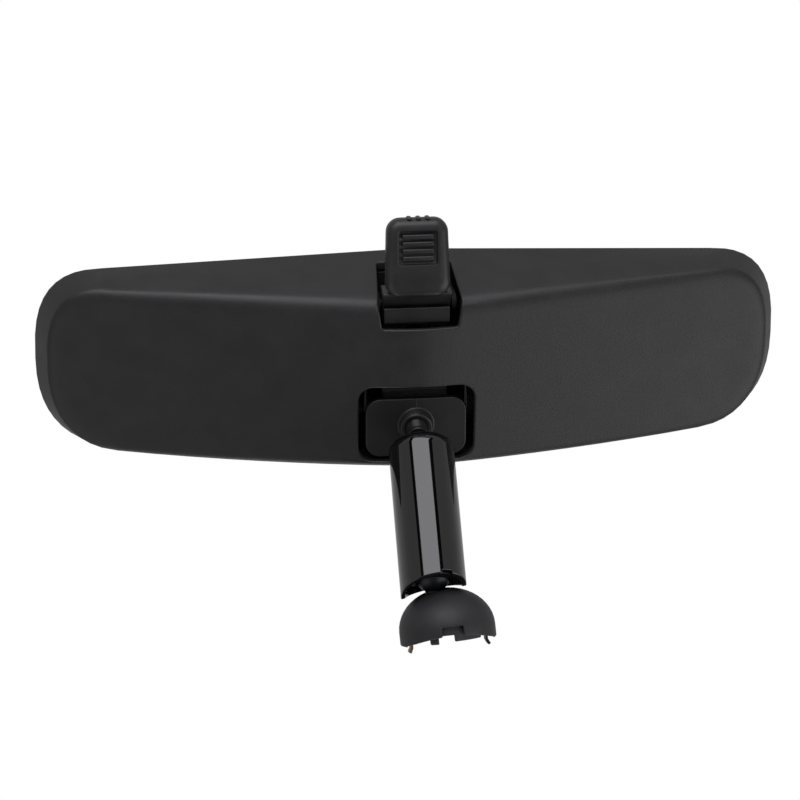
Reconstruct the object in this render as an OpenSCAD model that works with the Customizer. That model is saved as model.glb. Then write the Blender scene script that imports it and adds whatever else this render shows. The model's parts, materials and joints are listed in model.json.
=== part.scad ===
// Interior day/night rearview mirror on a double-ball arm.
// Millimetres. +Z is up, +Y points ahead towards the windscreen, the glass faces -Y.
// The origin is the middle of the seat that takes the windscreen button.

/* [Head] */
// Overall width of the mirror case
case_width = 250; // [240:1:260]
// Height of the case from its middle to the lower edge, at the middle of the width
case_lower = 34; // [32:0.5:36]
// Height of the case from its middle to the upper edge, at the middle of the width
case_upper = 36; // [34:0.1:37]
// Depth of the case at the ridge in the middle
case_depth = 30; // [28:0.5:32]
// Thickness of the moulded case wall
case_wall = 2.2; // [2:0.1:2.6]
// How fast the back slopes forward towards each end, in mm per mm
back_slope = 0.148; // [0.13:0.002:0.155]
// Thickness of the prism glass at mid height
glass_mid = 3.6; // [3.4:0.1:3.7]
// Wedge of the prism glass, in mm of thickness per mm of height
glass_wedge = 0.035; // [0.02:0.005:0.035]

/* [Lever] */
// Width of the thumb tab at the case
tab_width = 21.3; // [20:0.1:22.5]
// Width of the thumb tab at its tip
tab_tip_width = 20.2; // [19:0.1:21.3]
// How far the thumb tab hangs below the middle of the case
tab_reach = 52; // [48:0.5:54]
// Thickness of the thumb tab
tab_thick = 6.5; // [6:0.5:8]

/* [Arm] */
// Outer diameter of the arm tube
tube_dia = 21.5; // [21.5:0.1:22.5]
// Distance between the two ball centres
ball_span = 42.5; // [42:0.5:60]
// Diameter of both balls
ball_dia = 12; // [11.8:0.1:12]
// Lean of the arm ahead of vertical, in degrees
arm_lean = 44; // [36:0.5:46]

/* [Mount] */
// Lean of the windscreen normal ahead of vertical, in degrees
screen_lean = 20; // [18:0.5:28]
// Lean of the windscreen normal to one side, in degrees
screen_roll = 4; // [0:0.5:5]
// How far the arm stands to one side of the dome's middle
arm_offset = 3; // [0:0.5:3.5]
// Outer diameter of the dome cover
dome_dia = 31.2; // [30.8:0.1:32]
// Diameter of the round socket that takes the windscreen button
socket_dia = 23; // [22:0.1:23]

/* [Hidden] */

$fn = 64;
eps = 0.01;

// Clearances
running = 0.05;
ball_fit = 0.04;
cup_fit = 0.07;

// Case outline
half_width = case_width / 2;
end_run = 23;
lower_end_power = 2.8;
upper_end_power = 2.4;
lower_rise = 0.033;
upper_drop = 5.5;
upper_drop_at = 110;
lip = 2;
bevel_low = 10.5;
bevel_low_fade = 0.07;
bevel_up = 1.6;
bevel_end = 4.6;
back_taper = 0.045;
crease_soft = 6;
fillet_from = [0.8, 0.9];
fillet_inset = [6, 3];
ridge_z = bevel_low - case_lower;

// Glass stack, as distances behind the front rim plane
glass_front = 0.4;
glass_inset = 3;
pocket_inset = 2.8;
pocket_depth = 5.4;
ledge_inset = 5.2;
coating = 0.15;
plate_front = 6.9;
plate_back = 8.9;

// Openings in the back of the case
window_half = 19.25;
window_low = 5.8;
window_high = 32.4;
window_r = 5;
notch_half = [12.5, 13.8, 12.2];
notch_top = -15;
notch_rim_gap = 8;
notch_shift = 0.8;

// Bracket and lever
bracket_half = 16.85;
bracket_low = 10.8;
bracket_high = 31.2;
bracket_face = 25;
bracket_thick = 2.5;
hinge_y = 14;
hinge_z = 18;
hinge_r = 2;
hinge_lug_r = 4.4;
pivot_y = 20.5;
pivot_z = -21.5;
pivot_r = 1.5;
hub_r = 3.2;
hub_half = 11.4;
cheek_in = 11.8;
cheek_out = 13.4;
lug_in = 17.9;
lug_out = 20.4;

// Balls, necks and places
ball_r = ball_dia / 2;
neck_r = 2.9;
neck_base_r = 3.6;
neck_base = 5.5;
mouth_r = 5.4;
mouth_reach = 4.3;
mouth_end = 7.6;
mouth_near = [5.85, 13.7, 64];
mouth_far = [6.4, 27.1, -68];
ring_at = 2.3;
ring_thick = 0.9;
ring_r = 5.8;
tube_r = tube_dia / 2;
bore_r = tube_r - 1.5;
cup_r = bore_r - cup_fit;
cup_front = [-0.2, 1];
cup_back = 7.2;
washer = 0.8;
stud_z = 20.5;
stud_tilt = 13.4;
stud_len = 15.1;
mount_ball_drop = 16;
function turn_x(p, a) = [p[0], p[1] * cos(a) + p[2] * sin(a), p[2] * cos(a) - p[1] * sin(a)];
function turn_y(p, a) = [p[0] * cos(a) + p[2] * sin(a), p[1], p[2] * cos(a) - p[0] * sin(a)];
ball_b = turn_x(turn_y([-arm_offset, 0, -mount_ball_drop], screen_roll), screen_lean);
ball_a = ball_b - ball_span * [0, sin(arm_lean), cos(arm_lean)];
head_place = ball_a - [0, bracket_face + stud_len * cos(stud_tilt), stud_z + stud_len * sin(stud_tilt)];

// Mount
dome_r = dome_dia / 2;
dome_wall = 1.6;
rim_top = 6;
skirt = 4.2;
dome_height = 17.2;
arch = 2.9;
socket_r = socket_dia / 2;
clip_width = 4.6;

// Moves a shape from a local frame into the frame of the whole mirror
module in_head() translate(head_place) children();
module in_arm() translate(ball_b) rotate([-arm_lean, 0, 0]) children();
module in_mount() rotate([-screen_lean, 0, 0]) rotate([0, screen_roll, 0]) children();

// Local frame of the head's ball stud: Z runs out of the bracket's face, along the neck
module at_stud() translate([0, bracket_face, stud_z]) rotate([stud_tilt - 90, 0, 0]) children();

// A rectangle with round corners, standing across Y: w by h from its middle, d deep
module rounded_slab(w, h, r, d) {
    rotate([90, 0, 0]) mirror([0, 0, 1]) linear_extrude(d) {
        square([w - 2 * r, h], center = true);
        square([w, h - 2 * r], center = true);
        for (sx = [-1, 1], sz = [-1, 1]) translate([sx * (w / 2 - r), sz * (h / 2 - r)]) circle(r);
    }
}

// A cylinder along X, from -half to half
module cross_cylinder(r, half) rotate([0, 90, 0]) cylinder(r = r, h = 2 * half, center = true);

// A side profile of [y, z] points, extruded along X from -half to half
module side_profile(points, half) {
    rotate([90, 0, 90]) linear_extrude(2 * half, center = true) polygon(points);
}

// ---- Case outline -------------------------------------------------------
// How much of its height the outline keeps at x, where the end rounds off
function end_round(x, half, power) =
    let (t = max(0, (abs(x) - half + end_run) / end_run))
    pow(max(0, 1 - pow(min(1, t), power)), 1 / power);

// Depth of the back of the case at x, z
function back_depth(x, z) =
    case_depth
    - back_slope * (sqrt(x * x + crease_soft * crease_soft) - crease_soft)
    - back_taper * (z - ridge_z);

// Sample places along the width, as fractions of half the width
end_samples = [for (a = [0:9:81]) 1 - end_run / half_width * (1 - pow(cos(a), 2 / 2.6))];
flat_samples = [for (x = [102, 90, 78, 66, 54, 42, 31, 22, 15, 10, 6, 3, 0]) x / half_width];
right_half = concat(end_samples, flat_samples);
last = len(right_half) - 1;
along = concat(right_half, [for (i = [1:last]) -right_half[last - i]]);
reach = len(along) - 1;

// A point of the outline: fraction u of the width, side -1 below or 1 above,
// q the way from the rim to the ridge, inset further in from there
function outline_xz(u, side, q, inset) =
    let (half = half_width - q * bevel_end - inset)
    let (x = u * half)
    let (low = case_lower - lower_rise * abs(x) - q * (bevel_low - bevel_low_fade * abs(x)))
    let (up = case_upper - upper_drop * pow(x / upper_drop_at, 2) - q * bevel_up)
    [x, side < 0 ? -(low - inset) * end_round(x, half, lower_end_power)
                 : (up - inset) * end_round(x, half, upper_end_power)];

// The same point with its depth on the outer wall
function wall_point(u, side, q, inset) =
    let (p = outline_xz(u, side, q, inset))
    [p[0], lip + q * (back_depth(p[0], p[1]) - lip), p[1]];

// A point at a fixed depth
function flat_point(u, side, q, inset, depth) =
    let (p = outline_xz(u, side, q, inset)) [p[0], depth, p[1]];

// The lower or upper edge's own value, which turns into their mean at each end
function by_edge(pair, u, side) =
    let (own = pair[side < 0 ? 0 : 1])
    let (k = max(0, 1 - half_width * (1 - abs(u)) / (1.5 * end_run)))
    own + k * ((pair[0] + pair[1]) / 2 - own);

// The round over the ridge: t runs from the wall to the back
function ridge_point(u, side, t) =
    let (from = by_edge(fillet_from, u, side), inset = by_edge(fillet_inset, u, side))
    (1 - t) * (1 - t) * wall_point(u, side, from, 0)
    + 2 * t * (1 - t) * wall_point(u, side, 1, 0)
    + t * t * wall_point(u, side, 1, inset);

// The inner face of the back wall
function inner_point(u, side, q, inset, wall) =
    wall_point(u, side, q, inset) - [0, wall, 0];

// One level of the outer skin and one of the cavity
function skin_level(k, u, side) =
    k == 0 ? flat_point(u, side, 0, 1.5, 0) :
    k == 1 ? flat_point(u, side, 0, 0.5, 0.5) :
    k == 2 ? flat_point(u, side, 0, 0, lip) :
    k == 3 ? wall_point(u, side, 0.4, 0) :
    ridge_point(u, side, (k - 4) / 5);
skin_levels = 10;
function cavity_level(k, u, side) =
    k == 0 ? flat_point(u, side, 0, pocket_inset, -1) :
    k == 1 ? flat_point(u, side, 0, pocket_inset, pocket_depth) :
    k == 2 ? flat_point(u, side, 0, ledge_inset, pocket_depth) :
    k == 3 ? flat_point(u, side, 0, ledge_inset, plate_back + 0.2) :
    k == 4 ? wall_point(u, side, fillet_from[0] - 0.05, case_wall + 0.2) :
    inner_point(u, side, 1, 5, case_wall);
cavity_levels = 6;

// A closed solid from stacked outlines: rings of points joined by quads,
// with the front and back closed by strips between the lower and the upper edge
module lofted(levels, points) {
    ring = 2 * reach;
    function at(k, j) = k * ring + (j + ring) % ring;
    bands = [for (k = [0:levels - 2], j = [0:ring - 1], h = [0, 1])
        h == 0 ? [at(k, j), at(k + 1, j + 1), at(k, j + 1)]
               : [at(k, j), at(k + 1, j), at(k + 1, j + 1)]];
    back = [for (j = [0:reach - 1], h = [0, 1])
        let (k = levels - 1, m = ring - j)
        h == 0 ? [at(k, j), at(k, m - 1), at(k, j + 1)] : [at(k, j), at(k, m), at(k, m - 1)]];
    front = [for (j = [0:reach - 1], h = [0, 1])
        let (m = ring - j)
        h == 0 ? [at(0, j + 1), at(0, m - 1), at(0, j)] : [at(0, m - 1), at(0, m), at(0, j)]];
    closed = [for (f = concat(bands, back, front)) if (f[0] != f[1] && f[1] != f[2] && f[0] != f[2]) f];
    polyhedron(points, closed, convexity = 6);
}
function ring_points(levels, kind) = [
    for (k = [0:levels - 1], j = [0:2 * reach - 1])
        let (side = j <= reach ? -1 : 1, u = j <= reach ? along[j] : along[2 * reach - j])
        kind == "skin" ? skin_level(k, u, side) : cavity_level(k, u, side)
];

// A flat plate of the case outline, inset all round, between two depths
module outline_plate(inset, front, back) {
    points = [for (j = [0:2 * reach - 1])
        let (side = j <= reach ? -1 : 1, u = j <= reach ? along[j] : along[2 * reach - j])
        outline_xz(u, side, 0, inset)];
    translate([0, back, 0]) rotate([90, 0, 0]) linear_extrude(back - front) polygon(points);
}

// All that lies ahead of the sloping back face of the glass, moved back by shift
module before_glass_back(shift) {
    reach_z = 60;
    mid = glass_front + glass_mid + shift;
    side_profile([[-20, -reach_z], [mid - glass_wedge * reach_z, -reach_z],
                  [mid + glass_wedge * reach_z, reach_z], [-20, reach_z]], case_width);
}

// ---- Head ---------------------------------------------------------------
module case_shell() {
    color("#2c2c2e") in_head() difference() {
        lofted(skin_levels, ring_points(skin_levels, "skin"));
        lofted(cavity_levels, ring_points(cavity_levels, "cavity"));
        // Window around the bracket
        translate([0, pocket_depth + 4, (window_low + window_high) / 2])
            rounded_slab(2 * window_half, window_high - window_low, window_r, case_depth);
        // Notch for the lever across the ridge, a little wider at the ridge
        translate([notch_shift, notch_rim_gap + case_depth, 0]) rotate([90, 0, 0]) linear_extrude(case_depth)
            polygon([for (s = [1, -1], k = s > 0 ? [0:3] : [3:-1:0])
                [s * notch_half[min(k, 2)], [notch_top, ridge_z, ridge_z - 7.5, -case_lower - 4][k]]]);
    }
}

module mirror_glass() {
    color("#aeb6bc") in_head() intersection() {
        outline_plate(glass_inset, glass_front, 8);
        before_glass_back(0);
    }
}

module mirror_coating() {
    color("#d9dcdf") in_head() difference() {
        intersection() {
            outline_plate(glass_inset + 0.4, glass_front, 8);
            before_glass_back(coating);
        }
        before_glass_back(0);
    }
}

module adhesive_pad() {
    color("#3a3a3a") in_head() difference() {
        outline_plate(6.5, glass_front + 1, plate_front);
        before_glass_back(coating);
    }
}

module backing_plate() {
    color("#303033") in_head() difference() {
        union() {
            outline_plate(5.5, plate_front, plate_back);
            // Lugs for the bracket's hinge pin
            for (s = [-1, 1]) translate([s * (lug_in + lug_out) / 2, 0, 0]) {
                translate([0, hinge_y, hinge_z]) cross_cylinder(hinge_lug_r, (lug_out - lug_in) / 2);
                translate([-(lug_out - lug_in) / 2, plate_back - 0.5, hinge_z - hinge_lug_r])
                    cube([lug_out - lug_in, hinge_y - plate_back + 0.5, 2 * hinge_lug_r]);
            }
            // Cheeks for the lever's pin
            for (s = [-1, 1]) translate([s * (cheek_in + cheek_out) / 2, 0, 0]) {
                translate([0, pivot_y, pivot_z]) cross_cylinder(hub_r - 0.4, (cheek_out - cheek_in) / 2);
                translate([-(cheek_out - cheek_in) / 2, plate_back - 0.5, pivot_z - hub_r + 0.4])
                    cube([cheek_out - cheek_in, pivot_y - plate_back + 0.5, 2 * hub_r - 0.8]);
            }
        }
        translate([0, hinge_y, hinge_z]) cross_cylinder(hinge_r, case_width / 4);
        translate([0, pivot_y, pivot_z]) cross_cylinder(pivot_r, case_width / 4);
    }
}

module hinge_pin() {
    color("#8d9094") in_head() translate([0, hinge_y, hinge_z]) cross_cylinder(hinge_r - eps, lug_out);
}

module lever_pin() {
    color("#8d9094") in_head() translate([0, pivot_y, pivot_z]) cross_cylinder(pivot_r - eps, cheek_out);
}

// Rubber pad that the bracket arm rests on by day
module stop_pad(s) {
    color("#1b1b1b") in_head() translate([s * 8, plate_back, -6]) rotate([-90, 0, 0]) {
        cylinder(r = 2.6, h = 6.4);
        translate([0, 0, 6.4 - eps]) cylinder(r1 = 2.6, r2 = 1.8, h = 1.6);
    }
}

// ---- Lever --------------------------------------------------------------
tab_base_z = -26;
tab_base_y = 31;
tab_tip_y = 27;
tab_lean = atan((tab_base_y - tab_tip_y) / (tab_reach + tab_base_z));
tab_length = (tab_reach + tab_base_z) / cos(tab_lean);
tab_corner = 4.5;

// The tab's outline: straight at the case, narrower and round at the tip
module tab_outline() {
    tip = tab_tip_width / 2;
    polygon([[-tab_width / 2, 2], [tab_width / 2, 2], [tip, tab_corner - tab_length],
             [tip - tab_corner, -tab_length], [tab_corner - tip, -tab_length], [-tip, tab_corner - tab_length]]);
    for (s = [-1, 1]) translate([s * (tip - tab_corner), tab_corner - tab_length]) circle(tab_corner);
}
ledge_y = 27;
module thumb_lever() {
    color("#333335") in_head() difference() {
        union() {
            translate([0, pivot_y, pivot_z]) cross_cylinder(hub_r, hub_half);
            // Ledge that closes the lower half of the notch
            side_profile([[pivot_y - 2, pivot_z], [pivot_y - 1, -27.5], [ledge_y, -26.8], [ledge_y, -22.4],
                          [pivot_y + 3.5, -22.2], [pivot_y + 2, pivot_z + 1]], hub_half);
            // Cam finger that pushes the bracket over centre
            side_profile([[pivot_y - 1, pivot_z], [pivot_y + 2, pivot_z], [22.3, -14.2], [20.6, -14.2]], 4);
            // Thumb tab
            translate([0, tab_base_y, tab_base_z]) rotate([90 - tab_lean, 0, 0])
                linear_extrude(tab_thick) tab_outline();
        }
        translate([0, pivot_y, pivot_z]) cross_cylinder(pivot_r + running, tab_width);
        // Recess for the thumb, with its ribs left standing
        translate([0, tab_base_y, tab_base_z]) rotate([-tab_lean, 0, 0]) difference() {
            translate([0, -1.2, -17]) rounded_slab(12, 10.4, 0.6, 5);
            for (k = [-1.5:1:1.5]) translate([-5.2, -2, -17 + k * 2.4 - 0.5]) cube([10.4, 1.8, 1]);
        }
    }
}

// ---- Bracket ------------------------------------------------------------
arm_back = 19.5;
arm_front = 17;
toe_top = 25.4;
toe_bottom = 24.3;
toe_end = -21.2;
module toggle_bracket() {
    collar_r = 5.7;
    color("#2f2f31") in_head() difference() {
        union() {
            translate([0, bracket_face - bracket_thick, (bracket_low + bracket_high) / 2])
                rounded_slab(2 * bracket_half, bracket_high - bracket_low, 5, bracket_thick);
            at_stud() translate([0, 0, -1.8]) cylinder(r1 = collar_r + 0.6, r2 = collar_r - 0.4, h = 3.4);
            // Hinge lugs
            for (s = [-1, 1]) translate([s * 15.6, 0, 0]) {
                translate([0, hinge_y, hinge_z]) cross_cylinder(hinge_lug_r, 1.25);
                translate([-1.25, hinge_y, hinge_z - hinge_lug_r])
                    cube([2.5, bracket_face - bracket_thick - hinge_y + 0.5, 2 * hinge_lug_r]);
            }
            // Arm down to the lever, with the toe that shows in the notch
            side_profile([[arm_front, 13.2], [arm_front, -16.6], [toe_bottom - 1, -17.4], [toe_bottom, toe_end],
                          [toe_top, toe_end], [toe_top, -15.8], [21.4, -14.4], [arm_back, -12],
                          [arm_back, 9.8], [bracket_face - 2, 11.8], [bracket_face - 2, 14]], hub_half - 0.4);
        }
        translate([0, hinge_y, hinge_z]) cross_cylinder(hinge_r + running, 30);
        at_stud() cylinder(r = neck_base_r + running, h = 30, center = true);
        // Room behind the plate for the stud's riveted flange
        at_stud() translate([0, 0, -10.2]) cylinder(r = 5.6, h = 8);
        // Window for the lever's cam finger
        translate([-4.8, arm_front - 1, -17.6]) cube([9.6, toe_bottom - arm_front + 1, 8.8]);
    }
}

// Leaf that snaps the lever over centre
module toggle_spring() {
    color("#9a9da1") in_head() {
        translate([-3.2, arm_front - 0.5, -9]) cube([6.4, 0.5, 17]);
        side_profile([[arm_front - 0.5, -8.9], [arm_front, -8.9], [18.6, -16.2], [18.1, -16.4]], 2.6);
    }
}

module head_ball_stud() {
    color("#9c9ea1") in_head() at_stud() {
        translate([0, 0, stud_len]) sphere(ball_r, $fn = 96);
        translate([0, 0, -2.3]) cylinder(r = neck_base_r, h = neck_base + 2.3);
        translate([0, 0, neck_base - eps]) cylinder(r1 = neck_base_r, r2 = neck_r, h = 1.2);
        translate([0, 0, neck_base]) cylinder(r = neck_r, h = stud_len - neck_base);
        translate([0, 0, -3.6]) cylinder(r = 5.2, h = 1.3);
    }
}

// ---- Arm, in its own frame: Z runs from the head's ball to the mount's ball ----
// Nylon cup behind a ball at z, open towards dir
module ball_cup(z, front, turned) {
    color("#d8d5cc") in_arm() translate([0, 0, z]) mirror([0, 0, turned ? 1 : 0]) difference() {
        translate([0, 0, -cup_back]) cylinder(r = cup_r, h = cup_back + front);
        sphere(ball_r + ball_fit, $fn = 96);
    }
}
module mount_ball_cup() ball_cup(0, cup_front[1], false);
module head_ball_cup() ball_cup(-ball_span, cup_front[0], true);

// Rolled nose at the head's end: a quarter round of radius r about the nose's corner,
// as [r, z] points, from the mouth out to the side
nose_r = 4.35;
nose_at = tube_r - nose_r;
function nose(r) = [for (a = [0:10:90])
    [nose_at + r * sin(a), -ball_span - mouth_reach + nose_r - r * cos(a)]];
function reversed(list) = [for (k = [len(list) - 1:-1:0]) list[k]];

// All of the arm above a slanted plane: [height on the axis, slant, which way it falls]
module above_slant(plane) {
    size = 4 * tube_dia;
    translate([0, 0, plane[0]]) rotate([0, plane[1], plane[2]])
        translate([-size / 2, -size / 2, 0]) cube(size);
}

module arm_tube() {
    wall = tube_r - bore_r;
    lip_z = -ball_span - mouth_reach + wall;
    color("#141416") in_arm() difference() {
        rotate_extrude() polygon(concat(
            [[mouth_r, -ball_span - mouth_reach]], nose(nose_r),
            [[tube_r, mouth_end], [bore_r, mouth_end]],
            reversed(nose(nose_r - wall)), [[mouth_r, lip_z]]));
        // Slot in the nose, where the head's neck leans out
        translate([-4.9, -tube_r - 1, -ball_span - mouth_reach - 1]) cube([9.8, tube_r + 1, 3.8]);
        // Slanted cuts at the other mouth: the near one bares the ring, the far one clears the dome
        above_slant(mouth_near);
        above_slant(mouth_far);
        // Assembly notch, with the ring showing through
        translate([2, 0, ring_at]) cube([3.2, tube_r + 1, 8]);
    }
}

// Snap ring that holds the ball in the mouth, open where the neck leans out
module snap_ring() {
    color("#1d1d1f") in_arm() translate([0, 0, ring_at]) difference() {
        cylinder(r = bore_r - eps, h = ring_thick);
        translate([0, 0, -1]) cylinder(r = ring_r, h = 3);
        translate([-tube_r, -tube_r - 1, -1]) cube([2 * tube_r, tube_r - 1, 3]);
    }
}

module spring_washer(z) {
    color("#8d9094") in_arm() translate([0, 0, z]) cylinder(r = bore_r - 0.3, h = washer);
}
spring_top = -cup_back - washer;
spring_bottom = -ball_span + cup_back + washer;
module mount_spring_washer() spring_washer(spring_top);
module head_spring_washer() spring_washer(spring_bottom - washer);

// Helical spring: a round wire swept along the coil, with 8 sides
module arm_spring() {
    wire_r = 0.9;
    coil_r = bore_r - 1.6;
    turns = 7;
    steps = 20 * turns;
    sides = 8;
    length = spring_top - spring_bottom - 2 * wire_r - 0.1;
    function centre(i) = [coil_r * cos(360 * turns * i / steps), coil_r * sin(360 * turns * i / steps),
                          spring_bottom + wire_r + 0.05 + length * i / steps];
    points = [for (i = [0:steps], j = [0:sides - 1])
        let (a = 360 * turns * i / steps, b = 360 * j / sides)
        centre(i) + wire_r * [cos(a) * cos(b), sin(a) * cos(b), sin(b)]];
    walls = [for (i = [0:steps - 1], j = [0:sides - 1], h = [0, 1])
        let (a = i * sides + j, b = i * sides + (j + 1) % sides)
        h == 0 ? [a, b, b + sides] : [a, b + sides, a + sides]];
    caps = [[for (j = [sides - 1:-1:0]) j], [for (j = [0:sides - 1]) steps * sides + j]];
    color("#b5b7ba") in_arm() polyhedron(points, concat(walls, caps), convexity = 10);
}

// ---- Mount, in its own frame: Z points at the windscreen -----------------
hub_bottom = -7.3;
shank_end = -1.8;
module mount_ball_stud() {
    color("#9c9ea1") in_mount() translate([-arm_offset, 0, 0]) {
        translate([0, 0, -mount_ball_drop]) sphere(ball_r, $fn = 96);
        translate([0, 0, -mount_ball_drop]) cylinder(r = neck_r, h = mount_ball_drop + shank_end);
        translate([0, 0, hub_bottom - 1.3]) cylinder(r = 3.7, h = 1.2);
    }
}

// Dome profile as [r, z] points from the crown to the start of the skirt
function dome_arc(r, crown) = [for (a = [0:7.5:90])
    [r * sin(a), rim_top - skirt - (rim_top - skirt - crown) * cos(a)]];
crown = rim_top - dome_height;
module mount_dome() {
    rim_r = dome_r;
    outer = concat(dome_arc(rim_r, crown), [[rim_r, rim_top]]);
    inner = concat(dome_arc(rim_r - dome_wall, crown + dome_wall), [[rim_r - dome_wall, rim_top + 1]]);
    color("#2f3033") in_mount() difference() {
        rotate_extrude() polygon(concat(outer, [[0, rim_top]]));
        rotate_extrude() polygon(concat(inner, [[0, rim_top + 1]]));
        translate([-arm_offset, 0, 0]) cylinder(r = neck_r + 1, h = 60, center = true);
        // Shallow arch across the rim, and a square notch on the side that faces ahead
        arch_half = dome_r - 1;
        arch_r = (arch_half * arch_half + arch * arch) / (2 * arch);
        translate([0, 0, rim_top - arch + arch_r]) rotate([90, 0, 0])
            cylinder(r = arch_r, h = 2 * dome_r + 2, center = true);
        translate([-3.4, dome_r - 6, rim_top - arch - 3]) cube([6.8, 8, 8]);
    }
}

ring_top = rim_top - arch - 0.1;
module mount_core() {
    ring_r = dome_r - dome_wall - 0.4;
    color("#55575a") in_mount() difference() {
        union() {
            translate([-arm_offset, 0, hub_bottom]) cylinder(r = 5, h = 4);
            translate([0, 0, -5]) cylinder(r1 = 10, r2 = 12.6, h = 3.2);
            translate([0, 0, -1.8 - eps]) cylinder(r1 = 12.6, r2 = ring_r, h = 1.8);
            translate([0, 0, -2 * eps]) cylinder(r = ring_r, h = ring_top);
            // Tongues that stand past the ring on the side that faces ahead
            intersection() {
                difference() {
                    cylinder(r = ring_r, h = rim_top);
                    cylinder(r = socket_r, h = rim_top + 1);
                }
                union() {
                    translate([-7, 0, 0]) cube([2.5, 20, rim_top - 0.4]);
                    translate([0.6, 0, 0]) cube([8.8, 20, rim_top - 0.9]);
                }
            }
        }
        cylinder(r = socket_r, h = rim_top + 1);
        translate([-arm_offset, 0, hub_bottom - 1])
            cylinder(r = neck_r + running, h = 1 - hub_bottom + shank_end + 0.1);
        // A pocket and a slot for each clip, and the clip's screw hole
        for (s = [0, 180]) rotate([0, 0, s]) {
            translate([8, -clip_width / 2 - 0.2, -1.7]) cube([8, clip_width + 0.4, 10]);
            translate([9.8, 0, -3.9]) cylinder(r = 0.8, h = 4);
        }
    }
}

// Spring-steel leg that hooks over the windscreen button
module retaining_clip(s) {
    color(s > 0 ? "#55524c" : "#a08a62") in_mount() rotate([0, 0, s > 0 ? 0 : 180]) difference() {
        rotate([90, 0, 0]) linear_extrude(clip_width, center = true)
            polygon([[8.2, -1.7], [12.6, -1.7], [12.6, 6.6], [13.4, 8.2], [12.6, 8.6], [11.8, 6.9],
                     [11.8, -0.9], [8.2, -0.9]]);
        translate([9.8, 0, -2]) cylinder(r = 0.85, h = 2);
    }
}
module clip_screw(s) {
    color("#8d9094") in_mount() translate([s * 9.8, 0, 0]) {
        translate([0, 0, -3.7]) cylinder(r = 0.78, h = 3.4);
        translate([0, 0, -0.88]) cylinder(r = 1.35, h = 0.7);
    }
}

case_shell();
mirror_glass();
mirror_coating();
adhesive_pad();
backing_plate();
hinge_pin();
lever_pin();
stop_pad(-1);  // stop_pad_left
stop_pad(1);  // stop_pad_right
thumb_lever();
toggle_bracket();
toggle_spring();
head_ball_stud();
head_ball_cup();
arm_tube();
snap_ring();
arm_spring();
head_spring_washer();
mount_spring_washer();
mount_ball_cup();
mount_ball_stud();
mount_dome();
mount_core();
retaining_clip(-1);  // retaining_clip_left
retaining_clip(1);  // retaining_clip_right
clip_screw(-1);  // clip_screw_left
clip_screw(1);  // clip_screw_right
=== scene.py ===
# Interior day/night rearview mirror: the looks of each piece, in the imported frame, in metres.
import json
import math

import bmesh
import bpy
from mathutils import Matrix, Vector

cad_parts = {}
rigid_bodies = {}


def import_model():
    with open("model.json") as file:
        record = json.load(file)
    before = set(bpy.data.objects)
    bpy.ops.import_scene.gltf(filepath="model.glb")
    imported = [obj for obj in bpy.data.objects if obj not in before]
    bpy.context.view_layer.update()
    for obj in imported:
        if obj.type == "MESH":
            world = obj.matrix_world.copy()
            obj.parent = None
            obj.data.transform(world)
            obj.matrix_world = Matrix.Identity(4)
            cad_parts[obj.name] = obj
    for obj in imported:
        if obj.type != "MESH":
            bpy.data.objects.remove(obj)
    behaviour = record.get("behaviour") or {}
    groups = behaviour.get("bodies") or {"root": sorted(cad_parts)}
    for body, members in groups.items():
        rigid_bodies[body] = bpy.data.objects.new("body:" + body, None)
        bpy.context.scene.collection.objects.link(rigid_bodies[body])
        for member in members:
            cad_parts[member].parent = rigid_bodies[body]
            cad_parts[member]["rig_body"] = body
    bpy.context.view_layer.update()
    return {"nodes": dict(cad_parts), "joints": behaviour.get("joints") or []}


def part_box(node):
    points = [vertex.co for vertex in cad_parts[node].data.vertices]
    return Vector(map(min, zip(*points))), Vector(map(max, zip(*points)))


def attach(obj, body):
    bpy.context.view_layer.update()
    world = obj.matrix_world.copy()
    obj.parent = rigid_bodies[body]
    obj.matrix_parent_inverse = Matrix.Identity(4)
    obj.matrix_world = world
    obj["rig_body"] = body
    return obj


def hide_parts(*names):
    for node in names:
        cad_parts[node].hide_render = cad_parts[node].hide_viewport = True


MM = 0.001

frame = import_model()
joints = {joint["name"]: joint for joint in frame["joints"]}


def joint_at(name):
    return Vector(joints[name]["pos_m"])


def joint_axis(name):
    return Vector(joints[name]["axis"]).normalized()


def local_frame(origin, z_axis):
    """A frame at origin whose Z runs along z_axis and whose X is the mirror's long side."""
    x_axis = Vector((1, 0, 0))
    y_axis = z_axis.cross(x_axis).normalized()
    x_axis = y_axis.cross(z_axis)
    rows = Matrix((x_axis, y_axis, z_axis)).transposed().to_4x4()
    return Matrix.Translation(origin) @ rows


# Places of the local frames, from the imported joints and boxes
PIVOT_BELOW_MIDDLE = 21.5 * MM
STUD_LENGTH = 15.1 * MM
lever_pivot = joint_at("lever_flip")
head_at = Vector(
    (lever_pivot.x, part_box("case_shell")[0].y, lever_pivot.z + PIVOT_BELOW_MIDDLE)
)
head = Matrix.Translation(head_at)
stud = local_frame(
    joint_at("head_roll") - STUD_LENGTH * joint_axis("head_roll"), joint_axis("head_roll")
)


# ---- Materials -------------------------------------------------------------
def hex_colour(code):
    """Linear colour of an sRGB hex value such as "2c2c2e"."""
    channels = [int(code[i : i + 2], 16) / 255 for i in (0, 2, 4)]
    return (*[c / 12.92 if c <= 0.04045 else ((c + 0.055) / 1.055) ** 2.4 for c in channels], 1)


def add(tree, kind, settings=None, links=None):
    """Adds one shader node, with its settings and what is linked into it."""
    made = tree.nodes.new("ShaderNode" + kind)
    for key, value in (settings or {}).items():
        if isinstance(key, int) or not hasattr(made, key):
            made.inputs[key].default_value = value
        else:
            setattr(made, key, value)
    for key, output in (links or {}).items():
        tree.links.new(output, made.inputs[key])
    return made


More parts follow.
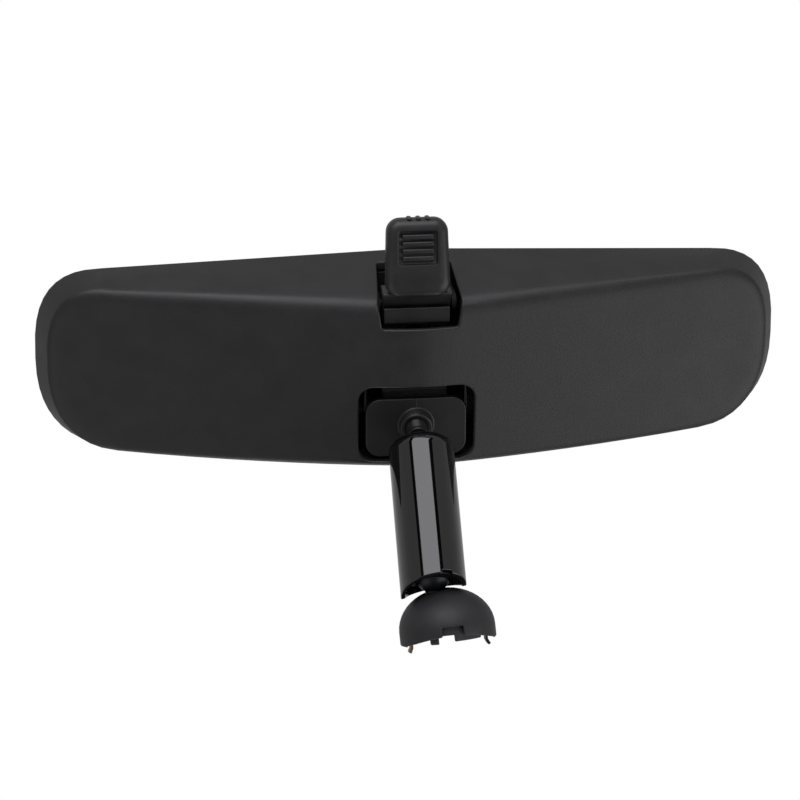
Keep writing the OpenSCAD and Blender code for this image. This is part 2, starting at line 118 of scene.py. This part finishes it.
def surface(
    name, dark, light, rough, grain_mm, bump_mm=0.0, mottle_mm=9.0, rough_spread=0.06, **settings
):
    """A material whose colour and roughness drift over mottle_mm, its grain of grain_mm bump_mm high."""
    made = bpy.data.materials.new(name)
    made.use_nodes = True
    tree = made.node_tree
    shader = tree.nodes["Principled BSDF"]
    for key, value in settings.items():
        shader.inputs[key.replace("_", " ")].default_value = value
    place = add(tree, "TexCoord").outputs["Object"]
    mottle = add(
        tree, "TexNoise", {"Scale": 1 / (mottle_mm * MM), "Detail": 3.0}, {"Vector": place}
    ).outputs[0]
    grain = add(
        tree, "TexNoise", {"Scale": 1 / (grain_mm * MM), "Detail": 2.0, "Roughness": 0.6},
        {"Vector": place},
    ).outputs[0]
    mixed = add(
        tree, "Mix", {"data_type": "FLOAT", 0: 0.45}, {2: mottle, 3: grain}
    ).outputs[0]
    ramp = add(tree, "ValToRGB", links={"Fac": mixed})
    ramp.color_ramp.elements[0].position = 0.35
    ramp.color_ramp.elements[0].color = hex_colour(dark)
    ramp.color_ramp.elements[1].position = 0.65
    ramp.color_ramp.elements[1].color = hex_colour(light)
    tree.links.new(ramp.outputs[0], shader.inputs["Base Color"])
    gloss = add(
        tree, "MapRange",
        {
            "From Min": 0.3, "From Max": 0.7,
            "To Min": rough - rough_spread, "To Max": rough + rough_spread,
        },
        {"Value": mixed},
    ).outputs[0]
    tree.links.new(gloss, shader.inputs["Roughness"])
    if bump_mm:
        bump = add(
            tree, "Bump", {"Strength": 1.0, "Distance": bump_mm * MM}, {"Height": grain}
        )
        tree.links.new(bump.outputs[0], shader.inputs["Normal"])
    return made


# Injection-moulded ABS from a spark-eroded tool: matte, a fine grain that scatters each highlight.
# The real grain is about 0.15 mm; it is drawn at 0.55 mm so that it shows.
case_abs = surface("moulded_abs_grained", "1b1b1d", "242426", 0.46, 0.55, 0.05, IOR=1.5)
# The same plastic from a smoother tool: satin, with soft broad highlights
lever_abs = surface("satin_abs_lever", "1d1d1f", "262628", 0.40, 0.45, 0.02, IOR=1.5)
# The unpolished inner mouldings: dull, and coloured near black as painted shade for the shadowed inside
# of the window
shadow_abs = surface("inner_abs_painted_shade", "0a0a0a", "0f0f10", 0.7, 0.6, 0.03, IOR=1.45)
# Glass-filled nylon: satin, slightly cloudy; its colour is held darker than the case plastic, partly as
# painted shade for the bracket's place inside the head
bracket_nylon_painted_shade = surface("filled_nylon_bracket_painted_shade", "101011", "19191a", 0.42, 0.4, 0.015, IOR=1.53)
dome_abs = surface("satin_abs_dome", "1d1e21", "27272a", 0.55, 0.4, 0.02, IOR=1.5)
# Powder-coated aluminium under clear lacquer: near black, with sharp reflections
tube_lacquer = surface(
    "gloss_lacquered_tube", "050506", "080809", 0.07, 2.2, 0.0012, 14, 0.02,
    IOR=1.5, Coat_Weight=0.6, Coat_Roughness=0.03,
)
# Phosphated and oiled steel: dark and dull, with a grey sheen
phosphated_steel = surface(
    "phosphated_steel", "26272a", "37383b", 0.38, 0.3, 0.006, 4, Metallic=0.85
)
# Black oxide over turned steel: nearly black, with a low sheen
black_steel = surface("black_oxide_steel", "121213", "1b1b1d", 0.34, 0.25, 0.006, 4, Metallic=0.5)
# Turned zinc-plated steel: pale with fine turning marks
plated_steel = surface("zinc_plated_steel", "a9abad", "c4c6c8", 0.24, 0.25, 0.003, 3, Metallic=1.0)
# Drawn spring wire: grey, with a smooth drawn skin
spring_wire = surface("drawn_spring_wire", "85868a", "a5a6a9", 0.28, 0.3, 0.002, 3, Metallic=1.0)
# Dull brass-plated strip, stained by handling
brass_strip = surface("dull_brass_strip", "6a5a40", "8f7a55", 0.36, 0.4, 0.004, 3, Metallic=0.9)
# Dark e-coated zinc die casting: sandy skin
die_casting = surface("coated_die_casting", "2a2b2d", "3a3b3e", 0.5, 0.6, 0.03, 5, Metallic=0.2)
# Moulded black acetal: satin and slightly waxy
black_acetal = surface("moulded_black_acetal", "161618", "202022", 0.36, 0.6, 0.01, IOR=1.48)
moulded_rubber = surface("moulded_rubber", "141414", "1e1e1e", 0.62, 0.5, 0.02, IOR=1.5)
foam_tape = surface("closed_cell_foam", "1a1a1a", "2b2b2b", 0.85, 0.6, 0.12, IOR=1.45)
# Silvering with its clear front: a true mirror with the faintest haze
silvering = surface("silvered_mirror", "dfe2e4", "e6e8ea", 0.012, 1.5, 0.0, 40, 0.006, Metallic=1.0)
# Float glass wedge: clear, with the green of thick glass
prism_glass = surface(
    "float_glass_wedge", "e4efec", "edf5f3", 0.006, 2.0, 0.0, 40, 0.003,
    IOR=1.52, Transmission_Weight=1.0,
)


# ---- Mesh helpers ----------------------------------------------------------
def only(obj):
    bpy.ops.object.select_all(action="DESELECT")
    obj.select_set(True)
    bpy.context.view_layer.objects.active = obj


def modifier(obj, kind, **settings):
    made = obj.modifiers.new(kind.title(), kind)
    for key, value in settings.items():
        setattr(made, key, value)
    only(obj)
    bpy.ops.object.modifier_apply(modifier=made.name)


def smooth(obj, angle=35):
    only(obj)
    bpy.ops.object.shade_smooth_by_angle(angle=math.radians(angle))


def dress(obj, material, body):
    obj.data.materials.clear()
    obj.data.materials.append(material)
    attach(obj, body)
    return obj


def soften(obj, edge, angle=35, segments=3):
    """Rounds each edge sharper than angle by edge, as a mould or a tumbler does."""
    modifier(
        obj, "BEVEL", width=edge, segments=segments, limit_method="ANGLE",
        angle_limit=math.radians(angle), use_clamp_overlap=False, miter_outer="MITER_ARC",
    )


def refined(node, name, edge, material, angle=35, segments=2, merge_angle=0.6):
    """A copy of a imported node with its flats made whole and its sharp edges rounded."""
    source = frame["nodes"][node]
    made = bpy.data.objects.new(name, source.data.copy())
    bpy.context.scene.collection.objects.link(made)
    mesh = bmesh.new()
    mesh.from_mesh(made.data)
    bmesh.ops.remove_doubles(mesh, verts=mesh.verts, dist=2e-6)
    bmesh.ops.dissolve_limit(
        mesh, angle_limit=math.radians(merge_angle), verts=mesh.verts, edges=mesh.edges
    )
    mesh.to_mesh(made.data)
    mesh.free()
    for attribute in [a.name for a in made.data.attributes if a.name == "custom_normal"]:
        made.data.attributes.remove(made.data.attributes[attribute])
    if edge:
        soften(made, edge, angle, segments)
    smooth(made)
    # Long faces keep their own shading beside the small rounds at their ends
    modifier(made, "WEIGHTED_NORMAL", mode="FACE_AREA", weight=60, keep_sharp=True)
    dress(made, material, source["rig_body"])
    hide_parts(node)
    return made


def block(name, size, centre, edge, segments=3):
    """A box of that size about centre, with round edges."""
    bpy.ops.object.select_all(action="DESELECT")
    bpy.ops.mesh.primitive_cube_add(size=1, location=centre)
    made = bpy.context.object
    made.name = name
    made.scale = size
    bpy.ops.object.transform_apply(location=True, rotation=False, scale=True)
    if edge:
        soften(made, edge, 60, segments)
    return made


def finished(name, mesh):
    """An object from a bmesh, with its normals outward."""
    bmesh.ops.recalc_face_normals(mesh, faces=mesh.faces)
    data = bpy.data.meshes.new(name)
    mesh.to_mesh(data)
    mesh.free()
    made = bpy.data.objects.new(name, data)
    bpy.context.scene.collection.objects.link(made)
    return made


def prism(name, outline, half, edge, segments=3):
    """A side outline of (y, z) points in mm, from -half to half along X, with round edges."""
    mesh = bmesh.new()
    low = [mesh.verts.new((-half * MM, y * MM, z * MM)) for y, z in outline]
    face = mesh.faces.new(low)
    raised = bmesh.ops.extrude_face_region(mesh, geom=[face])["geom"]
    far = [v for v in raised if isinstance(v, bmesh.types.BMVert)]
    bmesh.ops.translate(mesh, verts=far, vec=(2 * half * MM, 0, 0))
    made = finished(name, mesh)
    if edge:
        soften(made, edge * MM, 20, segments)
    return made


def turned(name, profile, steps=96):
    """A profile of (radius, height) points in millimetres, turned about Z; the solid is closed where the
    profile starts and ends on the axis.
    """
    mesh = bmesh.new()
    line = [mesh.verts.new((r * MM, 0, z * MM)) for r, z in profile]
    edges = [mesh.edges.new(pair) for pair in zip(line, line[1:])]
    bmesh.ops.spin(
        mesh, geom=line + edges, cent=(0, 0, 0), axis=(0, 0, 1), angle=2 * math.pi, steps=steps
    )
    bmesh.ops.remove_doubles(mesh, verts=mesh.verts, dist=2e-6)
    return finished(name, mesh)


def settle(obj, place):
    """Puts a piece made in a local frame at its place, in its mesh."""
    obj.data.transform(place)
    obj.data.update()
    return obj


def joined(name, pieces):
    only(pieces[0])
    for piece in pieces:
        piece.select_set(True)
    bpy.ops.object.join()
    pieces[0].name = name
    return pieces[0]


# ---- Head ------------------------------------------------------------------
refined("case_shell", "case_shell_moulded", 0.75 * MM, case_abs, 38, 3)
refined("mirror_glass", "mirror_glass_ground", 0.35 * MM, prism_glass, 40, 2, 0.02)
coating = refined("mirror_coating", "mirror_coating_flat", 0, silvering, 40, 1, 0.02)
# The silver bites into the glass, so that no air shows between the two
settle(coating, Matrix.Translation((0, -0.03 * MM, 0)))
# The backing plate takes the near-black plastic, painted shade standing in for the shade behind the
# window
refined("backing_plate", "backing_plate_moulded", 0.2 * MM, shadow_abs)

# Thumb tab, in its own frame: X across, Y out of its face, tip at Z = -TAB_LENGTH. All in millimetres.
TAB_WIDTH, TAB_TIP_WIDTH, TAB_THICK, TAB_LENGTH = 21.3, 20.2, 6.5, 26.3
TAB_TOP = -0.5
TAB_CORNER, TAB_LEAST_CORNER = 4.6, 0.8
# Round of the face's edge, and how many times longer it is at the foot
TAB_EDGE, ROOT_ROLL = 2.9, 1.9
tab_lean = math.atan(4 / 26)
tab_frame = head @ Matrix.Translation((0, 31 * MM, -26 * MM)) @ Matrix.Rotation(-tab_lean, 4, "X")
RECESS_AT, RECESS_HALF, RECESS_TALL, RECESS_DEEP = -16.9, 6.3, 5.55, 1.3


def corner_ring(half_top, half_tip, z_top, z_tip, radius, y, steps=8):
    """Points of a rectangle with round corners at depth y, its tip narrower than its top, in mm."""
    corners = [
        (half_top - radius, z_top - radius, 0), (radius - half_top, z_top - radius, 90),
        (radius - half_tip, z_tip + radius, 180), (half_tip - radius, z_tip + radius, 270),
    ]
    return [
        (x + radius * math.cos(math.radians(start + 90 * k / steps)), y,
         z + radius * math.sin(math.radians(start + 90 * k / steps)))
        for x, z, start in corners
        for k in range(steps + 1)
    ]


def tab_ring(inset, y):
    return corner_ring(
        TAB_WIDTH / 2 - inset, TAB_TIP_WIDTH / 2 - inset,
        TAB_TOP - ROOT_ROLL * inset, inset - TAB_LENGTH,
        max(TAB_CORNER - inset, TAB_LEAST_CORNER), y,
    )


def recess_ring(grow, y):
    return corner_ring(
        RECESS_HALF + grow, RECESS_HALF + grow, RECESS_AT + RECESS_TALL + grow,
        RECESS_AT - RECESS_TALL - grow, 0.9 + max(grow, -0.5), y,
    )


def stacked(name, rings):
    """A closed solid from rings of points in mm, each joined to the next, with the ends filled."""
    mesh = bmesh.new()
    loops = [[mesh.verts.new([c * MM for c in point]) for point in ring] for ring in rings]
    count = len(loops[0])
    for low, high in zip(loops, loops[1:]):
        for k in range(count):
            mesh.faces.new((low[k], low[(k + 1) % count], high[(k + 1) % count], high[k]))
    mesh.faces.new(loops[0])
    mesh.faces.new(loops[-1])
    return finished(name, mesh)


rings = [tab_ring(1.4, -TAB_THICK), tab_ring(0.4, 0.35 - TAB_THICK), tab_ring(0, 1.3 - TAB_THICK)]
for angle in range(0, 91, 10):
    turn = math.radians(angle)
    rings.append(tab_ring(TAB_EDGE * (1 - math.cos(turn)), TAB_EDGE * (math.sin(turn) - 1) - 0.15))
rings += [
    tab_ring(3.3, -0.03), recess_ring(0.9, 0.0), recess_ring(0.3, 0.0), recess_ring(0.08, -0.08),
    recess_ring(0, -0.3), recess_ring(-0.05, 0.2 - RECESS_DEEP), recess_ring(-0.3, -RECESS_DEEP),
]
tab = stacked("thumb_tab", rings)
smooth(tab, 50)
dress(settle(tab, tab_frame), lever_abs, "lever")
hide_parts("thumb_lever")

# Thumb ribs in the recess, each a long bar with a round back
RIB_PITCH = 2.38
RIB_SIZE = (10.4 * MM, 1.5 * MM, 1.6 * MM)
ribs = [
    block(
        "thumb_rib", RIB_SIZE,
        (0, -0.85 * MM, (RECESS_AT + k * RIB_PITCH) * MM), 0.42 * MM, 4,
    )
    for k in (-1.5, -0.5, 0.5, 1.5)
]
ribs = joined("thumb_ribs", ribs)
smooth(ribs, 40)
dress(settle(ribs, tab_frame), lever_abs, "lever")

# Grip ridges over the tip
grips = [
    block(
        "grip_ridge", (1.5 * MM, 4.6 * MM, 0.9 * MM),
        (x * MM, -TAB_THICK / 2 * MM, -TAB_LENGTH * MM), 0.42 * MM, 4,
    )
    for x in (-2.6, 0.4, 3.4)
]
grips = joined("tip_grips", grips)
smooth(grips, 40)
dress(settle(grips, tab_frame), lever_abs, "lever")

# Lever root: the hub on its pin and the step that closes the notch
root = prism(
    "lever_root",
    [
        (18.5, -21.5), (19.5, -27.5), (27.0, -26.9), (27.2, -26.3),
        (24.4, -22.7), (22.6, -19.8), (20.4, -18.4), (18.2, -19.8),
    ],
    11.35, 0.35,
)
smooth(root, 40)
dress(settle(root, head), lever_abs, "lever")
finger = prism(
    "cam_finger", [(19.5, -21.5), (22.5, -21.5), (22.3, -14.4), (20.6, -14.4)], 4, 0.3
)
smooth(finger, 40)
dress(settle(finger, head), lever_abs, "lever")

# ---- Bracket ---------------------------------------------------------------
# The bracket's dark nylon is partly painted shade, darker than the case to stand in for the shade inside
# the head
refined("toggle_bracket", "bracket_moulded", 0.45 * MM, bracket_nylon_painted_shade, 40, 3)
# Parting line down the plate's middle, from its edge to the collar
SEAM_SIZE, SEAM_AT = (0.34 * MM, 0.3 * MM, 5.4 * MM), (0, 25.02 * MM, 13.6 * MM)
seam = block("plate_seam", SEAM_SIZE, SEAM_AT, 0.1 * MM, 2)
smooth(seam, 40)
dress(settle(seam, head), bracket_nylon_painted_shade, "bracket")

# ---- Head ball stud: ball, grooved neck and riveted flange ------------------
BALL_R = 6
GROOVES = [(3.7 if k % 2 else 3.35, 0.9 + 0.5 * k) for k in range(8)]
neck = turned(
    "head_stud_turned",
    [(0, -3.6), (5.2, -3.6), (5.2, -2.3), (3.6, -2.3), (3.6, 0.6)]
    + GROOVES
    + [(3.5, 4.9), (2.95, 5.2), (2.95, 9.9)]
    + [
        (BALL_R * math.sin(math.radians(a)), STUD_LENGTH / MM - BALL_R * math.cos(math.radians(a)))
        for a in range(30, 181, 6)
    ],
)
smooth(neck, 50)
dress(settle(neck, stud), black_steel, "head_stud")
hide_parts("head_ball_stud")
# Ring on the neck where it enters the tube
collar = turned(
    "neck_collar", [(2.9, 5.7), (3.7, 5.8), (4.05, 6.2), (4.05, 6.7), (3.7, 7.1), (2.9, 7.2)]
)
smooth(collar, 50)
dress(settle(collar, stud), phosphated_steel, "head_stud")

# ---- Arm -------------------------------------------------------------------
refined("arm_tube", "arm_tube_lacquered", 0.3 * MM, tube_lacquer, 40, 3, 0.05)
refined("snap_ring", "snap_ring_pressed", 0.12 * MM, phosphated_steel, 40, 2, 0.05)

# ---- Mount -----------------------------------------------------------------
refined("mount_dome", "mount_dome_moulded", 0.5 * MM, dome_abs, 40, 3, 0.05)
refined("mount_core", "mount_core_cast", 0.25 * MM, die_casting, 40, 2, 0.05)
refined("retaining_clip_left", "clip_left_pressed", 0.15 * MM, brass_strip, 40, 2)
refined("retaining_clip_right", "clip_right_pressed", 0.15 * MM, phosphated_steel, 40, 2)

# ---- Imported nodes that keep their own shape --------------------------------
kept = {
    "adhesive_pad": foam_tape,
    "hinge_pin": phosphated_steel,
    "lever_pin": phosphated_steel,
    "stop_pad_left": moulded_rubber,
    "stop_pad_right": moulded_rubber,
    "toggle_spring": spring_wire,
    "arm_spring": spring_wire,
    "head_spring_washer": plated_steel,
    "mount_spring_washer": plated_steel,
    "head_ball_cup": black_acetal,
    "mount_ball_cup": black_acetal,
    "mount_ball_stud": phosphated_steel,
    "clip_screw_left": plated_steel,
    "clip_screw_right": plated_steel,
}
for node, material in kept.items():
    obj = frame["nodes"][node]
    obj.data.materials.clear()
    obj.data.materials.append(material)


# ---- Camera ----------------------------------------------------------------
SIDE, BELOW, ROLL = math.radians(7.0), math.radians(20.0), math.radians(0.3)
DISTANCE = 1.0
LENS = 133.2
AIM = (-0.00247, -0.01953)
back = Vector(
    (-math.sin(SIDE) * math.cos(BELOW), math.cos(SIDE) * math.cos(BELOW), -math.sin(BELOW))
)
right = Vector((math.cos(SIDE), math.sin(SIDE), 0))
up = Vector(
    (math.sin(SIDE) * math.sin(BELOW), -math.cos(SIDE) * math.sin(BELOW), -math.cos(BELOW))
)
across = right * math.cos(ROLL) + up * math.sin(ROLL)
upward = up * math.cos(ROLL) - right * math.sin(ROLL)
forward = (-back + AIM[0] * across + AIM[1] * upward).normalized()
across = forward.cross(upward).normalized()
upward = across.cross(forward)
camera = bpy.data.objects.new("camera", bpy.data.cameras.new("camera"))
bpy.context.scene.collection.objects.link(camera)
camera.matrix_world = Matrix.Translation(head_at + back * DISTANCE) @ Matrix(
    (across, upward, -forward)
).transposed().to_4x4()
camera.data.lens = LENS
camera.data.sensor_width = 36
camera.data.clip_start = 0.05
camera.data.clip_end = 50
bpy.context.scene.camera = camera

# ---- Studio ----------------------------------------------------------------
middle = head_at + Vector((0, 0.03, 0.02))


def softbox(name, way, distance, width, height, radiance, colour="ffffff"):
    """A soft light as far as distance along way from the middle, of that radiance, turned to face it."""
    data = bpy.data.lights.new(name, "AREA")
    data.shape = "RECTANGLE"
    data.size, data.size_y = width, height
    data.energy = radiance * math.pi * width * height
    data.color = hex_colour(colour)[:3]
    made = bpy.data.objects.new(name, data)
    bpy.context.scene.collection.objects.link(made)
    way = Vector(way).normalized()
    made.location = middle + way * distance
    made.rotation_mode = "QUATERNION"
    made.rotation_quaternion = way.to_track_quat("Z", "Y")
    made.visible_camera = False
    return made


# Way to the long box whose reflection runs down the tube
STRIP_WAY, STRIP_WIDTH, STRIP_HEIGHT = (-0.1145, 0.374, -0.92), 0.75, 0.6
softbox("strip_box", STRIP_WAY, 0.75, STRIP_WIDTH, STRIP_HEIGHT, 2.55, "f6f3f8")
softbox("side_box", (0.72, 0.60, 0.35), 0.9, 0.7, 0.7, 1.75)
softbox("left_fill", (-0.62, 0.62, 0.48), 1.0, 0.8, 0.8, 0.55)
card = surface("black_card", "050505", "070707", 0.9, 5.0, 0.0, 200, 0.02, Specular_IOR_Level=0.0)


def flag(name, across_by):
    """A black card beside the long box, just in front of it, which only reflections see."""
    bpy.ops.object.select_all(action="DESELECT")
    bpy.ops.mesh.primitive_plane_add(size=1)
    made = bpy.context.object
    made.name = name
    made.scale = (FLAG_WIDTH, FLAG_HEIGHT, 1)
    way = Vector(STRIP_WAY).normalized()
    made.rotation_mode = "QUATERNION"
    made.rotation_quaternion = way.to_track_quat("Z", "Y")
    aside = made.rotation_quaternion @ Vector((across_by, 0, 0))
    made.location = middle + way * FLAG_DISTANCE + aside
    made.data.materials.append(card)
    made.visible_camera = made.visible_shadow = made.visible_diffuse = False


FLAG_DISTANCE, FLAG_WIDTH, FLAG_HEIGHT, FLAG_ASIDE = 0.74, 0.16, 1.1, 0.47
flag("flag_left", FLAG_ASIDE)
flag("flag_right", -FLAG_ASIDE)

# Light from straight above, for the floor and the top of the case
lamp = bpy.data.lights.new("ceiling", "SUN")
lamp.energy, lamp.angle = 0.6, 0.5
bpy.context.scene.collection.objects.link(bpy.data.objects.new("ceiling", lamp))

FLOOR_DROP = 1.1
bpy.ops.object.select_all(action="DESELECT")
bpy.ops.mesh.primitive_plane_add(size=14, location=(0, 0, -FLOOR_DROP))
floor = bpy.context.object
floor.name = "floor"
floor.data.materials.append(
    surface("pale_floor", "e6e6e4", "eaeae8", 0.7, 5.0, 0.0, 400, 0.02, IOR=1.4)
)

world = bpy.data.worlds.new("studio")
bpy.context.scene.world = world
world.use_nodes = True
tree = world.node_tree
background = tree.nodes["Background"]
# Dim ahead of the mirror and brighter behind it, and white where the camera looks past it
sky_way = add(tree, "TexCoord").outputs["Generated"]
sky_parts = add(tree, "SeparateXYZ", links={0: sky_way})
behind = add(
    tree, "MapRange",
    {
        "From Min": 0.5, "From Max": -0.6, "To Min": 0.16, "To Max": 0.45,
        "interpolation_type": "SMOOTHSTEP",
    },
    {"Value": sky_parts.outputs[1]},
).outputs[0]
seen = add(tree, "LightPath").outputs["Is Camera Ray"]
strength = add(tree, "Mix", {"data_type": "FLOAT", 3: 1.0}, {0: seen, 2: behind}).outputs[0]
background.inputs["Color"].default_value = (1, 1, 1, 1)
tree.links.new(strength, background.inputs["Strength"])
bpy.context.scene.view_settings.view_transform = "Standard"
